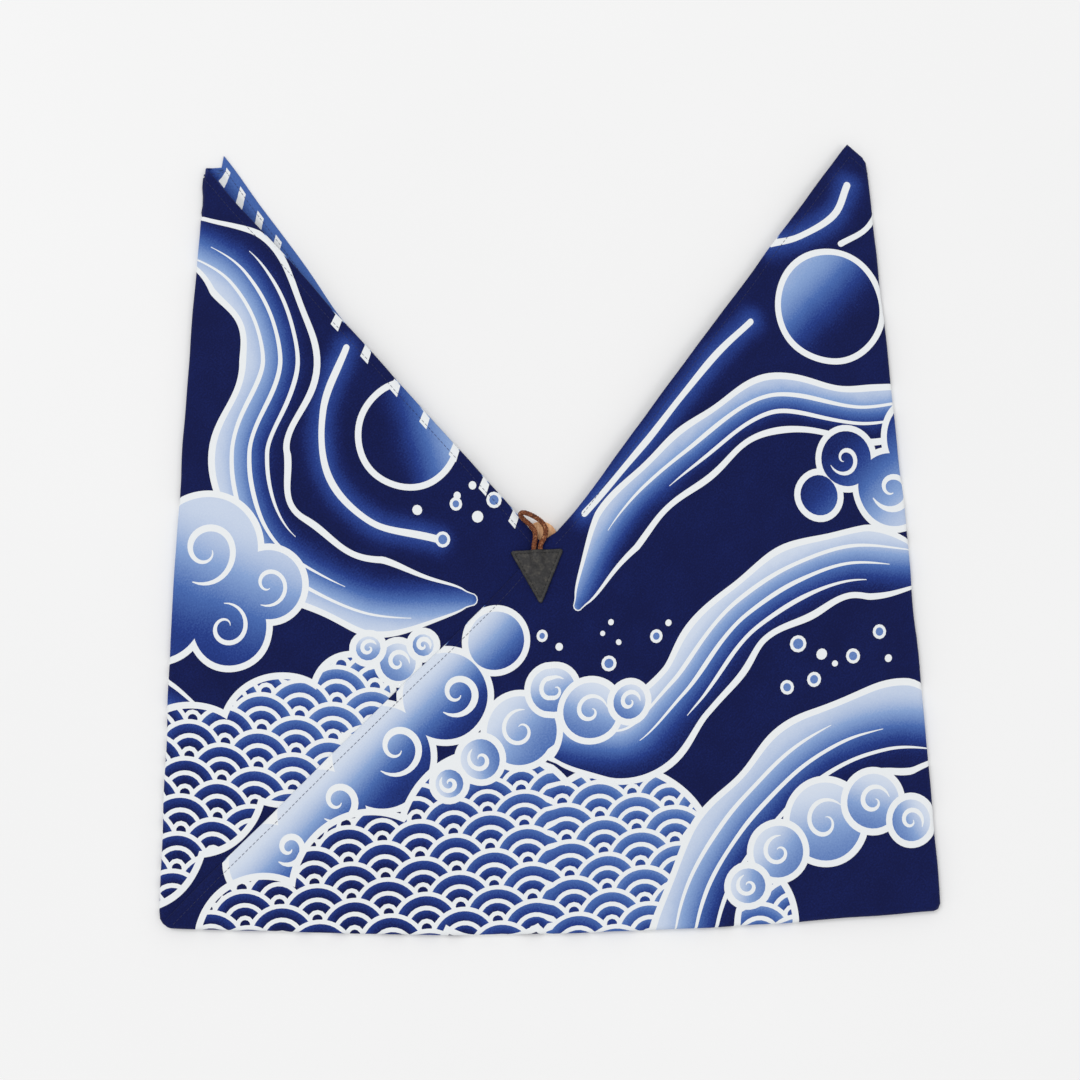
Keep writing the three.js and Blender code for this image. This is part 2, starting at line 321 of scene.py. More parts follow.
def segment_distance(points, start, end):
    edge = end - start
    share = np.clip((points - start) @ edge / (edge @ edge), 0, 1)
    return lengths(points - start - share[:, None] * edge)


def outline_distance(points, outline):
    following = np.roll(outline, -1, axis=0)
    return np.min([segment_distance(points, a, b) for a, b in zip(outline, following)], axis=0)


def inside(points, outline):
    """Whether points are inside an outline, by how often it turns around them."""
    found = np.zeros(len(points), bool)
    near = np.flatnonzero(((points >= outline.min(0)) & (points <= outline.max(0))).all(1))
    if not len(near):
        return found
    start, end = outline, np.roll(outline, -1, axis=0)
    edge = end - start
    turns = np.zeros(len(near), int)
    most_at_once = 4000000
    parts = max(1, len(near) * len(outline) // most_at_once)
    for part in np.array_split(np.arange(len(near)), parts):
        x, y = points[near[part]].T[:, :, None]
        left = edge[:, 0] * (y - start[:, 1]) - edge[:, 1] * (x - start[:, 0])
        up = (start[:, 1] <= y) & (end[:, 1] > y) & (left > 0)
        down = (start[:, 1] > y) & (end[:, 1] <= y) & (left < 0)
        turns[part] = up.sum(1) - down.sum(1)
    found[near] = turns != 0
    return found


def triangulate(points, edges, outline, tolerance, least=0.0):
    """Triangles inside an outline that follow the edges and face up, but for the smallest."""
    flat = [Vector((float(v[0]), float(v[1]))) for v in points]
    found, _, faces, *_ = geometry.delaunay_2d_cdt(flat, edges, [], 0, tolerance)
    points = np.array([tuple(v) for v in found])
    faces = np.array([tuple(f) for f in faces])
    faces = faces[inside(points[faces].mean(1), outline)]
    a, b, c = points[faces].transpose(1, 0, 2)
    area = np.cross(b - a, c - a) / 2
    faces = np.where(area[:, None] < 0, faces[:, ::-1], faces)
    faces = faces[abs(area) >= least]
    used, faces = np.unique(faces, return_inverse=True)
    return points[used], faces.reshape(-1, 3)


def rim_loop(faces):
    """The vertices around the edge of a sheet, in order."""
    pairs = np.vstack([faces[:, [0, 1]], faces[:, [1, 2]], faces[:, [2, 0]]])
    known = {tuple(pair) for pair in pairs.tolist()}
    following = {a: b for a, b in known if (b, a) not in known}
    loop = [next(iter(following))]
    while following[loop[-1]] != loop[0]:
        loop.append(following[loop[-1]])
    return np.array(loop)


def tube_frames(path):
    """Side and upper directions along a path, without twist."""
    tangents = unit(np.gradient(path, axis=0))
    side = np.cross(tangents[0], (0, 0, 1))
    sides = []
    for tangent in tangents:
        side = unit(side - tangent * (side @ tangent))
        sides.append(side)
    return np.array(sides), np.cross(sides, tangents)


def add_tube(centre, side, upper, radii, corners, vertices, faces):
    """Adds a closed tube around a line."""
    turn = 2 * math.pi * np.arange(corners)[:, None] / corners
    out = side[:, None] * np.cos(turn) + upper[:, None] * np.sin(turn)
    first = len(vertices)
    vertices.extend((centre[:, None] + out * np.reshape(radii, (-1, 1, 1))).reshape(-1, 3))
    last = len(vertices) - corners
    for ring in range(first, last, corners):
        for k in range(corners):
            after = (k + 1) % corners
            faces.append((ring + k, ring + after, ring + corners + after, ring + corners + k))
    faces.append(tuple(first + k for k in reversed(range(corners))))
    faces.append(tuple(last + k for k in range(corners)))


def add_object(name, vertices, faces, material):
    mesh = bpy.data.meshes.new(name)
    mesh.from_pydata([tuple(v) for v in vertices], [], [tuple(f) for f in faces])
    mesh.validate()
    mesh.polygons.foreach_set("use_smooth", np.ones(len(mesh.polygons), bool))
    mesh.materials.append(material)
    piece = bpy.data.objects.new(name, mesh)
    bpy.context.scene.collection.objects.link(piece)
    return piece


# Materials

def new_material(name, roughness, specular):
    material = bpy.data.materials.new(name)
    material.use_nodes = True
    shader = material.node_tree.nodes["Principled BSDF"]
    shader.inputs["Roughness"].default_value = roughness
    shader.inputs["Specular IOR Level"].default_value = specular
    return material, material.node_tree, shader


def node(tree, kind, **values):
    made = tree.nodes.new(kind)
    for key, value in values.items():
        if key in made.inputs:
            made.inputs[key].default_value = value
        else:
            setattr(made, key, value)
    return made


def texture(tree, kind, place, **values):
    made = node(tree, "ShaderNodeTex" + kind, **values)
    tree.links.new(place, made.inputs["Vector"])
    return made.outputs


def object_place(tree):
    return tree.nodes.new("ShaderNodeTexCoord").outputs["Object"]


def maths(tree, operation, *values):
    made = node(tree, "ShaderNodeMath", operation=operation)
    for socket, value in zip(made.inputs, values):
        if isinstance(value, float):
            socket.default_value = value
        else:
            tree.links.new(value, socket)
    return made.outputs[0]


def centred(tree, value, size):
    """A texture's value, as a change of up to half the size either way."""
    return maths(tree, "MULTIPLY", maths(tree, "SUBTRACT", value, 0.5), size)


def srgb(red, green, blue):
    def linear(value):
        value /= 255
        return value / 12.92 if value <= 0.04045 else ((value + 0.055) / 1.055) ** 2.4
    return (linear(red), linear(green), linear(blue), 1)


def ramp(tree, factor, stops):
    made = tree.nodes.new("ShaderNodeValToRGB")
    elements = made.color_ramp.elements
    while len(elements) < len(stops):
        elements.new(0.5)
    for element, (place, colour) in zip(elements, stops):
        element.position = place
        element.color = srgb(*colour)
    tree.links.new(factor, made.inputs[0])
    return made.outputs[0]


def multiply_colours(tree, share, first, second):
    made = node(tree, "ShaderNodeMix", data_type="RGBA", blend_type="MULTIPLY")
    factor, first_colour, second_colour = (made.inputs[k] for k in (0, 6, 7))
    factor.default_value = share
    tree.links.new(first, first_colour)
    tree.links.new(second, second_colour)
    return made.outputs[2]


def give_relief(tree, shader, height, strength, depth):
    """Fine relief, of a depth in metres."""
    bump = node(tree, "ShaderNodeBump", Strength=strength, Distance=depth)
    tree.links.new(height, bump.inputs["Height"])
    tree.links.new(bump.outputs[0], shader.inputs["Normal"])


def noise_material(name, roughness, specular, stops, relief=None, mapping=None, **grain):
    """A colour that follows a noise, and relief from it by its strength and its depth."""
    material, tree, shader = new_material(name, roughness, specular)
    place = object_place(tree)
    if mapping:
        mapped = node(tree, "ShaderNodeMapping", **mapping)
        tree.links.new(place, mapped.inputs["Vector"])
        place = mapped.outputs[0]
    value = texture(tree, "Noise", place, **grain)[0]
    tree.links.new(ramp(tree, value, stops), shader.inputs["Base Color"])
    if relief:
        give_relief(tree, shader, value, *relief)
    return material


def weave_height(tree, place):
    """Plain weave: threads that pass over and under, along and across the strip."""
    split = tree.nodes.new("ShaderNodeSeparateXYZ")
    tree.links.new(place, split.inputs[0])
    turns = math.pi / WEAVE_PITCH
    across = maths(tree, "SINE", maths(tree, "MULTIPLY", split.outputs[0], turns))
    along = maths(tree, "SINE", maths(tree, "MULTIPLY", split.outputs[1], turns))
    return maths(tree, "MULTIPLY", across, along)


def cloth_material():
    material, tree, shader = new_material("indigo_cotton", 0.9, 0.14)
    dye = node(tree, "ShaderNodeAttribute", attribute_name="dye").outputs["Fac"]
    place = node(tree, "ShaderNodeUVMap", uv_map="weave").outputs[0]
    height = weave_height(tree, place)
    cloudy = texture(tree, "Noise", place, Scale=38.0, Detail=6.0, Roughness=0.65)[0]
    slub = texture(tree, "Noise", place, Scale=900.0, Detail=2.0)[0]
    uneven = maths(tree, "ADD", centred(tree, cloudy, DYE_CLOUD), centred(tree, slub, DYE_FLECK))
    amount = maths(tree, "MULTIPLY", dye, maths(tree, "ADD", uneven, DYE_FULL))
    colour = ramp(tree, amount, [
        (0.0, (236, 239, 241)),
        (0.14, (206, 217, 235)),
        (0.34, (137, 165, 212)),
        (0.55, (74, 108, 176)),
        (0.74, (36, 60, 134)),
        (0.9, (18, 30, 88)),
        (1.0, (12, 20, 68)),
    ])
    # Painted light and shade of the weave: the colour is a little lighter where the weave's relief
    # is high and darker where it is low, between the threads.
    weave_shade = maths(tree, "MULTIPLY_ADD", height, 0.06, 0.97)
    shade = tree.nodes.new("ShaderNodeCombineColor")
    for socket in shade.inputs[:3]:
        tree.links.new(weave_shade, socket)
    woven_with_shade = multiply_colours(tree, 1.0, colour, shade.outputs[0])
    tree.links.new(woven_with_shade, shader.inputs["Base Color"])
    give_relief(tree, shader, height, 0.35, 0.00012)
    shader.inputs["Sheen Weight"].default_value = 0.03
    shader.inputs["Sheen Roughness"].default_value = 0.5
    return material


def leather_material():
    material, tree, shader = new_material("grained_leather", 0.55, 0.4)
    place = object_place(tree)
    grain = texture(tree, "Voronoi", place, Scale=720.0, Randomness=0.95)["Distance"]
    fine = texture(tree, "Noise", place, Scale=3000.0, Detail=4.0)[0]
    worn = texture(tree, "Noise", place, Scale=260.0, Detail=5.0, Roughness=0.6)[0]
    colour = ramp(tree, worn, [
        (0.3, (30, 30, 32)),
        (0.5, (46, 45, 46)),
        (0.7, (78, 75, 70)),
    ])
    # Painted shade: the colour darkens in the grooves between the grain's pebbles, where the relief
    # is low.
    grain_shade = ramp(tree, grain, [
        (0.0, (255, 252, 244)),
        (0.5, (205, 203, 198)),
        (0.85, (120, 120, 122)),
    ])
    grained_and_shaded = multiply_colours(tree, 0.8, colour, grain_shade)
    tree.links.new(grained_and_shaded, shader.inputs["Base Color"])
    relief = maths(tree, "SUBTRACT", maths(tree, "MULTIPLY", fine, 0.5), grain)
    give_relief(tree, shader, relief, 0.5, 0.00025)
    return material


def cord_material():
    fibre = [
        (0.34, (44, 22, 12)),
        (0.46, (104, 54, 28)),
        (0.58, (130, 74, 42)),
        (0.68, (208, 160, 118)),
    ]
    return noise_material("brown_cord", 0.7, 0.3, fibre, (0.5, 0.0001),
                          Scale=850.0, Detail=5.0, Roughness=0.7)


def wood_material():
    grain = [
        (0.3, (186, 128, 82)),
        (0.5, (221, 166, 118)),
        (0.72, (238, 192, 146)),
    ]
    along_grain = {"Scale": (1.0, 0.12, 1.0), "Rotation": (0, 0, 0.4)}
    return noise_material("pale_wood", 0.5, 0.5, grain, (0.25, 0.00008), along_grain,
                          Scale=700.0, Detail=6.0, Roughness=0.6)


def thread_material(name, dark, light):
    return noise_material(name, 0.65, 0.5, [(0.35, dark), (0.65, light)], Scale=2500.0, Detail=2.0)


def floor_material():
    tones = [(0.3, (241, 241, 241)), (0.7, (243, 243, 243))]
    return noise_material("studio_floor", 0.9, 0.0, tones, Scale=2.0, Detail=2.0)


CORD_MATERIAL = cord_material()


# Cord loop

def cord_strands(path):
    """Vertices and faces of the strands twisted around the cord's path, in metres."""
    across, upper = tube_frames(path)
    strand_radius = CORD_DIAMETER * CORD_SWELL * STRAND_SHARE * MM
    lay_radius = CORD_DIAMETER * CORD_SWELL * MM / 2 - strand_radius
    vertices, faces = [], []
    for strand in range(CORD_STRANDS):
        turns = travelled(path) / (CORD_PITCH * MM) + strand / CORD_STRANDS
        angle = 2 * math.pi * turns[:, None]
        centre = path + (across * np.cos(angle) + upper * np.sin(angle)) * lay_radius
        side, strand_upper = tube_frames(centre)
        add_tube(centre, side, strand_upper, strand_radius, STRAND_SIDES, vertices, faces)
    return vertices, faces


def make_cord_loop():
    path = spline(np.array(LOOP_ROUTE) * MM, CORD_STEP * MM)
    vertices, faces = cord_strands(path)
    piece = add_object("cord_loop_twisted", vertices, faces, CORD_MATERIAL)
    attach(piece, "root")
    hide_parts("cord_loop")


make_cord_loop()


# From the flat strip to the folded bag
# The bag's own plane has X along the bottom fold from its left end and Y up to the mouth.
# The strip is unfolded into that plane around its middle field.

def to_plane(points):
    offset = points - FOLD_START
    return np.stack([offset @ ALONG, offset @ UPWARD], 1)


def to_strip(points):
    return points[:, :1] * ALONG + points[:, 1:] * UPWARD + FOLD_START


def fold_flat(points):
    """Strip points to (place in the bag's plane, on the front)."""
    plane = to_plane(points)
    first = points[:, 0] < 0
    last = points[:, 0] > THIRD
    turned = np.stack([abs(plane[:, 0]), -plane[:, 1]], 1)
    folded = np.stack([BOTTOM - abs(BOTTOM - plane[:, 0]), plane[:, 1]], 1)
    raised = np.stack([plane[:, 0], abs(plane[:, 1])], 1)
    place = np.where(first[:, None], turned, np.where(last[:, None], folded, raised))
    front = np.where(first, plane[:, 0] < 0,
                     np.where(last, plane[:, 0] < BOTTOM, plane[:, 1] > 0))
    return place, front


class Warp:
    """A smooth map of the plane that takes each source point to its target."""

    def __init__(self, source, target):
        self.source = np.asarray(source, float)
        count = len(self.source)
        system = np.zeros((count + 3, count + 3))
        system[:count, :count] = self.kernel(self.source)
        system[:count, count] = 1
        system[:count, count + 1:] = self.source / BOTTOM
        system[count:, :count] = system[:count, count:].T
        right = np.zeros((count + 3, 2))
        right[:count] = target
        self.weights = np.linalg.solve(system, right)

    def kernel(self, points):
        gap = lengths(points[:, None] - self.source[None]) / BOTTOM
        return gap ** 2 * np.log(gap + 1e-9)

    def __call__(self, points):
        count = len(self.source)
        affine = np.column_stack([np.ones(len(points)), points / BOTTOM])
        return self.kernel(points) @ self.weights[:count] + affine @ self.weights[count:]


def bottom_line(share):
    x = (2 * share - 1) * BOTTOM_HALF_WIDTH
    return np.stack([x, BOTTOM_CORNER_Y - BOTTOM_SAG * np.sin(share * math.pi)], 1)


def side_line(side, share):
    top = LEFT_FOLD_TOP if side < 0 else RIGHT_FOLD_TOP
    bow = LEFT_SIDE_BOW if side < 0 else RIGHT_SIDE_BOW
    corner = np.array([side * BOTTOM_HALF_WIDTH, BOTTOM_CORNER_Y])
    line = corner + (top - corner) * share[:, None]
    line[:, 0] += side * bow * np.sin(share * math.pi)
    return line


def bowed(start, end, bow):
    """A side of the mouth from its top to the valley, curved inward by the bow."""
    edge = end - start
    inward = unit(np.array([edge[1], -edge[0]]))
    share = np.linspace(0, 1, MOUTH_STEPS)[:, None]
    return between(start, end, MOUTH_STEPS) + inward * bow * np.sin(share ** BOW_SKEW * math.pi)


def outline_warp(front):
    """How one layer lies: its ideal flat outline, and the same points of the laid bag."""
    share = np.linspace(0, 1, SIDE_STEPS)
    source = [np.stack([share * BOTTOM, 0 * share], 1)]
    target = [bottom_line(share)]
    offset = THIRD ** 2 if front else STRIP_WIDTH ** 2
    valley = np.array([offset / BOTTOM, THIRD * STRIP_WIDTH / BOTTOM])
    laid_valley = FRONT_VALLEY if front else BACK_VALLEY
    for side, x in ((-1, 0.0), (1, BOTTOM)):
        source.append(np.stack([0 * share[1:] + x, share[1:] * FOLD_HEIGHT], 1))
        target.append(side_line(side, share[1:]))
        start = np.array([x, FOLD_HEIGHT])
        laid_start = LEFT_FOLD_TOP if side < 0 else RIGHT_FOLD_TOP
        if (side > 0) == front:
            start = np.array([x - side * TIP_INSET, TIP_HEIGHT])
            laid_start = LEFT_TIP if side < 0 else RIGHT_TIP
            source.append(start[None])
            target.append(laid_start[None])
        bow = BACK_MOUTH_BOW if not front and side < 0 else 0.0
        source.append(between(start, valley, MOUTH_STEPS)[1:-1:3])
        target.append(bowed(laid_start, laid_valley, bow)[1:-1:3])
    source.append(valley[None])
    target.append((FRONT_VALLEY_ROUND if front else BACK_VALLEY)[None])
    if not front:
        source.append(np.array([[TIP_INSET / 2, (FOLD_HEIGHT + TIP_HEIGHT) / 2]]))
        target.append(LEFT_TIP_FOOT[None])
    corner = np.array([0.0 if front else BOTTOM, 0.0])
    laid_corner = np.array([(-1 if front else 1) * BOTTOM_HALF_WIDTH, BOTTOM_CORNER_Y])
    source.append(between(corner, valley, SEAM_STEPS)[1:-1])
    target.append(between(laid_corner, laid_valley, SEAM_STEPS)[1:-1])
    return Warp(np.vstack(source), np.vstack(target))


WARPS = {True: outline_warp(True), False: outline_warp(False)}


def around_fold(distance):
    """Distance along the cloth from a fold, to its share of the turn and its place."""
    quarter = FOLD_RADIUS * math.pi / 2
    turn = np.clip(distance / FOLD_RADIUS, 0, math.pi / 2)
    place = FOLD_RADIUS * (1 - np.cos(turn)) + np.maximum(distance - quarter, 0)
    return np.sin(turn), place


def soft_noise(points, scale, seed):
    return np.array([noise.noise(Vector((p[0] / scale, p[1] / scale, seed))) for p in points])


def creases(laid):
    """Height of the soft ridges and the dips beside them."""
    height = np.zeros(len(laid))
    for start, end, width, size in CREASES:
        start, end = np.array(start, float), np.array(end, float)
        away = segment_distance(laid, start, end)
        share = (laid - start) @ (end - start) / ((end - start) @ (end - start))
        fade = (smooth((share + CREASE_OVERRUN) / CREASE_FADE)
                * smooth((1 + CREASE_OVERRUN - share) / CREASE_FADE))
        dip = CREASE_DIP * np.exp(-(away / (CREASE_DIP_WIDTH * width)) ** 2)
        height += size * (np.exp(-(away / width) ** 2) - dip) * fade
    return height


def to_seam_ends(points):
    """Distance on the strip from the nearer of the two places where a seam ends at a fold."""
    return np.minimum(lengths(points - (0, STRIP_WIDTH)), lengths(points - (THIRD, 0)))


def beyond_valley(laid, radius, fade):
    """Share that grows from 0 to 1 over the fade, past a radius around the mouth's valley."""
    return smooth((lengths(laid - FRONT_VALLEY) - radius) / fade)


def round_corners(laid, left, from_side, from_bottom):
    """Moves the cloth in at the two bottom corners."""
    radius = np.where(left, LEFT_CORNER_RADIUS, RIGHT_CORNER_RADIUS)
    across = np.clip(1 - from_side / radius, 0, 1)
    up = np.clip(1 - from_bottom / radius, 0, 1)
    inward = np.where(left, 1, -1)
    laid[:, 0] += inward * radius * across * (1 - np.sqrt(1 - up ** 2 / 2))
    laid[:, 1] += radius * up * (1 - np.sqrt(1 - across ** 2 / 2))


def front_height(points, laid, small, from_side, from_bottom):
    """How far the front lies above the middle of the folds."""
    to_mouth = np.minimum(segment_distance(laid, FRONT_VALLEY, LEFT_TIP),
                          segment_distance(laid, FRONT_VALLEY, RIGHT_TIP))
    rise = EDGE_RISE * smooth(from_side / RISE_REACH) * smooth(from_bottom / RISE_REACH)
    swell = (BELLY_RISE * smooth(from_side / SWELL_REACH) * smooth(from_bottom / SWELL_REACH)
             * smooth((to_mouth - MOUTH_FLAT) / SWELL_REACH))
    free = smooth(from_side / WAVE_FADE) * smooth(from_bottom / WAVE_FADE)
    loose = beyond_valley(laid, *CALM)
    waves = BROAD_HEIGHT * soft_noise(laid, BROAD_WAVE, 3.1) + SMALL_HEIGHT * small
    depth = hem_depths(points)[0]
    near_hem = np.exp(-(depth / PUCKER_REACH) ** 2)
    pucker = PUCKER_HEIGHT * soft_noise(laid, PUCKER_WAVE, 1.7) * near_hem * loose
    groove = GROOVE_DEPTH * np.exp(-((depth - HEM_STITCH) / GROOVE_WIDTH) ** 2)
    ripple = (waves + creases(laid)) * free * loose + pucker - groove
    return FOLD_RADIUS + rise + swell + ripple


def seam_height(points, laid, front):
    """How the layers of a seam lie over and under each other."""
    x, y = points.T
    upper = (x >= 0) & (x <= THIRD)
    sunk = 1 - beyond_valley(laid, *SUNK)
    on_front = np.where(upper, FRONT_LAP_LIFT - FRONT_LAP_SINK * sunk,
                        -UNDER_LAP_DROP - UNDER_LAP_SINK * sunk)
    on_back = np.where(upper, 0.0, BACK_LAP_LIFT)
    away = np.where(front, np.where(x > THIRD, FAR, STRIP_WIDTH - y), np.where(x < 0, FAR, y))
    near = np.exp(-(np.maximum(away, 0) / SEAM_REACH) ** 2)
    along = smooth(to_seam_ends(points) / SEAM_END_FADE)
    return np.where(front, on_front, on_back) * near * along


def lay(points):
    """Strip points to the middle of the cloth of the bag as it lies, in millimetres."""
    plane, front = fold_flat(points)
    left = plane[:, 0] < BOTTOM / 2
    from_side = np.maximum(np.minimum(plane[:, 0], BOTTOM - plane[:, 0]), 0)
    from_bottom = np.maximum(plane[:, 1], 0)
    side_turn, side_place = around_fold(from_side)
    bottom_turn, bottom_place = around_fold(from_bottom)
    placed = np.stack([np.where(left, side_place, BOTTOM - side_place), bottom_place], 1)
    laid = np.where(front[:, None], WARPS[True](placed), WARPS[False](placed))
    round_corners(laid, left, side_place, bottom_place)

    small = soft_noise(laid, SMALL_WAVE, 8.4)
    height = np.where(front, front_height(points, laid, small, from_side, from_bottom),
                      BACK_MIDDLE - FOLD_MIDDLE)
    profile = side_turn * bottom_turn
    z = FOLD_MIDDLE + (height + seam_height(points, laid, front)) * profile
    wander = beyond_valley(laid, *STEADY)[:, None] * EDGE_WANDER
    laid += np.column_stack([small, soft_noise(laid, SMALL_WAVE, 5.2)]) * wander
    return np.column_stack([laid, z])


def directions(points, tangent):
    """Where a small step along the strip leads once the cloth is laid, as unit vectors."""
    step = 0.4
    return unit(lay(points + tangent * step) - lay(points - tangent * step))


def cloth_normals(points):
    """Outward directions of the laid cloth."""
    ahead = np.tile((1.0, 0.0), (len(points), 1))
    aside = np.tile((0.0, 1.0), (len(points), 1))
    return unit(np.cross(directions(points, ahead), directions(points, aside)))


# Strip's outline, and the lines of its hems and folds

STRIP_OUTLINE = np.array([
    (-THIRD, 0.0),
    (THIRD + TAPER_START, 0.0),
    (THIRD + TAPER_END, -ALLOWANCE),
    (2 * THIRD, -ALLOWANCE),
    (2 * THIRD, STRIP_WIDTH),
    (-TAPER_START, STRIP_WIDTH),
    (-TAPER_END, STRIP_WIDTH + ALLOWANCE),
    (-THIRD, STRIP_WIDTH + ALLOWANCE),
])


def hem_depths(points):
    """Distance inside the mouth's hemmed edges, and inside the folded edges of the seams."""
    x, y = points.T
    middle = (x >= 0) & (x <= THIRD)
    mouth = [x + THIRD, 2 * THIRD - x, np.where(x > THIRD, STRIP_WIDTH - y, FAR),
             np.where(x < 0, y, FAR)]
    seams = np.where(middle, np.minimum(STRIP_WIDTH - y, y), FAR)
    return np.min(mouth, axis=0), seams


def hem_thickness(points):
    """What the turned-in hem adds on the inside of the cloth."""
    mouth, seams = hem_depths(points)
    edge = HEM_WIDTH + HEM_STEP
    hem = HEM_EXTRA * smooth((edge - mouth) / (2 * HEM_STEP))
    seam = SEAM_EXTRA * smooth((edge - seams) / (2 * HEM_STEP))
    return np.maximum(hem, seam * smooth((to_seam_ends(points) - HEM_END) / HEM_END_FADE))


def grid_line(start, end):
    """A straight line with vertices about a grid step apart."""
    return between(start, end, int(math.dist(start, end) / GRID_STEP) + 2)


def hem_lines():
    """The stitched groove of each hem and the step where it ends, as lines on the strip."""
    lines = []
    for depth in (HEM_STITCH - GROOVE_EDGE, HEM_STITCH, HEM_STITCH + GROOVE_EDGE,
                  HEM_WIDTH - HEM_STEP, HEM_WIDTH + HEM_STEP):
        low, high = -THIRD + depth, 2 * THIRD - depth
        top, base = STRIP_WIDTH - depth, depth
        lines.append(grid_line((low, base), (low, STRIP_WIDTH + ALLOWANCE)))
        lines.append(grid_line((low, base), (THIRD - depth, base)))
        lines.append(grid_line((high, -ALLOWANCE), (high, top)))
        lines.append(grid_line((high, top), (depth, top)))
    return lines


def fold_lines():
    """Lines along the three folds, close enough together to turn smoothly."""
    reach = STRIP_WIDTH ** 2 / THIRD
    folds = [
        ((0.0, STRIP_WIDTH), (THIRD, 0.0)),
        ((0.0, STRIP_WIDTH), (-reach, 0.0)),
        ((THIRD, 0.0), (THIRD + reach, STRIP_WIDTH)),
    ]
    lines = []
    for start, end in folds:
        edge = np.subtract(end, start)
        aside = np.array([-edge[1], edge[0]]) / math.hypot(*edge)
        for offset in FOLD_LINES:
            line = (grid_line(start, end) + aside * offset)[1:-1]
            lines.append(line[inside(line, STRIP_OUTLINE)])
    return lines


# Dyed pattern
# Each shape is an outline on the strip, the amount of dye in it (0 white, 1 darkest), and the
# shapes that it shows in. Later shapes lie over earlier ones.

SHAPES = []


def add_shape(outline, dye, within=None):
    SHAPES.append({"outline": np.asarray(outline, float), "dye": dye, "within": within})
    return SHAPES[-1]["outline"]


def shown_in(points, frames):
    """Whether points are inside any of the frames."""
    return np.any([inside(points, one) for one in frames], axis=0)


def covered(points, outline, later):
    """Whether points of an outline are hidden by the shapes laid over it."""
    hidden = np.zeros(len(points), bool)
    for shape in later:
        within = shape["within"]
        if within and any(one is outline for one in within):
            continue
        over = inside(points, shape["outline"])
        if within and over.any():
            over &= shown_in(points, within)
        hidden |= over
    return hidden


def pattern_edges():
    """The visible stretches of all the outlines."""
    lows = np.array([shape["outline"].min(0) for shape in SHAPES])
    highs = np.array([shape["outline"].max(0) for shape in SHAPES])
    vertices, edges = [], []
    for place, shape in enumerate(SHAPES):
        outline = shape["outline"]
        meets = ((lows <= highs[place]) & (highs >= lows[place])).all(1)
        meets[:place + 1] = False
        keep = inside(outline, STRIP_OUTLINE)
        if shape["within"]:
            keep &= shown_in(outline, shape["within"])
        if keep.any():
            keep &= ~covered(outline, outline, [SHAPES[k] for k in np.flatnonzero(meets)])
        start = len(vertices)
        for k in np.flatnonzero(keep | np.roll(keep, -1)):
            edges.append((start + k, start + (k + 1) % len(outline)))
        vertices.extend(outline)
    used = sorted({k for edge in edges for k in edge})
    renumber = {old: new for new, old in enumerate(used)}
    return [vertices[k] for k in used], [(renumber[a], renumber[b]) for a, b in edges]


def grid_vertices(vertices):
    """An even grid over the strip, left out where vertices already are."""
    tree = kdtree.KDTree(len(vertices))
    for k, vertex in enumerate(vertices):
        tree.insert((vertex[0], vertex[1], 0), k)
    tree.balance()
    row_step = GRID_STEP * math.sqrt(3) / 2
    added = []
    for row in range(int((STRIP_WIDTH + 2 * ALLOWANCE) / row_step) + 1):
        y = -ALLOWANCE + row * row_step
        for column in range(int(3 * THIRD / GRID_STEP) + 1):
            x = -THIRD + (column + 0.5 * (row % 2)) * GRID_STEP
            if tree.find((x, y, 0))[2] > GRID_CLEAR:
                added.append((x, y))
    return added


def flat_mesh():
    """The strip as triangles that follow the pattern, the hems and an even grid."""
    vertices, edges = pattern_edges()
    corners = np.vstack([STRIP_OUTLINE, STRIP_OUTLINE[:1]])
    rim = np.vstack([grid_line(a, b)[:-1] for a, b in zip(corners[:-1], corners[1:])])
    first = len(vertices)
    edges.extend((first + k, first + (k + 1) % len(rim)) for k in range(len(rim)))
    vertices.extend(rim)
    for line in hem_lines() + fold_lines():
        first = len(vertices)
        vertices.extend(line)
        edges.extend((first + k, first + k + 1) for k in range(len(line) - 1))
    vertices.extend(grid_vertices(vertices))
    return triangulate(vertices, edges, STRIP_OUTLINE, MERGE_DISTANCE, LEAST_AREA)


def dye_amounts(points, faces):
    """The dye at each corner of each face, from the shape that lies on top there."""
    middles = points[faces].mean(1)
    amounts = np.ones(faces.shape)
    for shape in SHAPES:
        over = inside(middles, shape["outline"])
        if shape["within"] and over.any():
            over[over] = shown_in(middles[over], shape["within"])
        if over.any():
            amounts[over] = shape["dye"](points[faces[over]].reshape(-1, 2)).reshape(-1, 3)
    return np.clip(amounts, 0, 1)


# Drawing
# Motifs are drawn in the bag's plane. A zone's signs turn the plane into the field of the
# strip that lies there.

FRONT = np.array([1.0, 1.0])
LEFT = np.array([-1.0, -1.0])
BACK = np.array([1.0, -1.0])


def paint(zone, outline, shade, within=None):
    return add_shape(to_strip(outline * zone), lambda points: shade(to_plane(points) * zone),
                     within)


def even(amount):
    return lambda points: np.full(len(points), float(amount))


def graded(start, end, first, last):
    """Dye that changes from one point to another."""
    start = np.array(start, float)
    edge = np.array(end, float) - start
    return lambda points: first + (last - first) * smooth((points - start) @ edge / (edge @ edge))


def rounded(centre, inner, outer, first, last):
    """Dye that changes from an inner circle to an outer one."""
    return lambda points: first + (last - first) * smooth(
        (lengths(points - np.array(centre)) - inner) / (outer - inner))


def beside(line, reach, first, last):
    """Dye that changes across a line, from its right to its left."""
    starts, edges = line[:-1], np.diff(line, axis=0)
    sides = unit(np.stack([-edges[:, 1], edges[:, 0]], 1))

    def shade(points):
        gaps = np.array([segment_distance(points, a, a + e) for a, e in zip(starts, edges)])
        nearest = gaps.argmin(0)
        side = ((points - starts[nearest]) * sides[nearest]).sum(1)
        share = smooth(0.5 + 0.5 * np.sign(side) * gaps.min(0) / reach)
        return first + (last - first) * share
    return shade


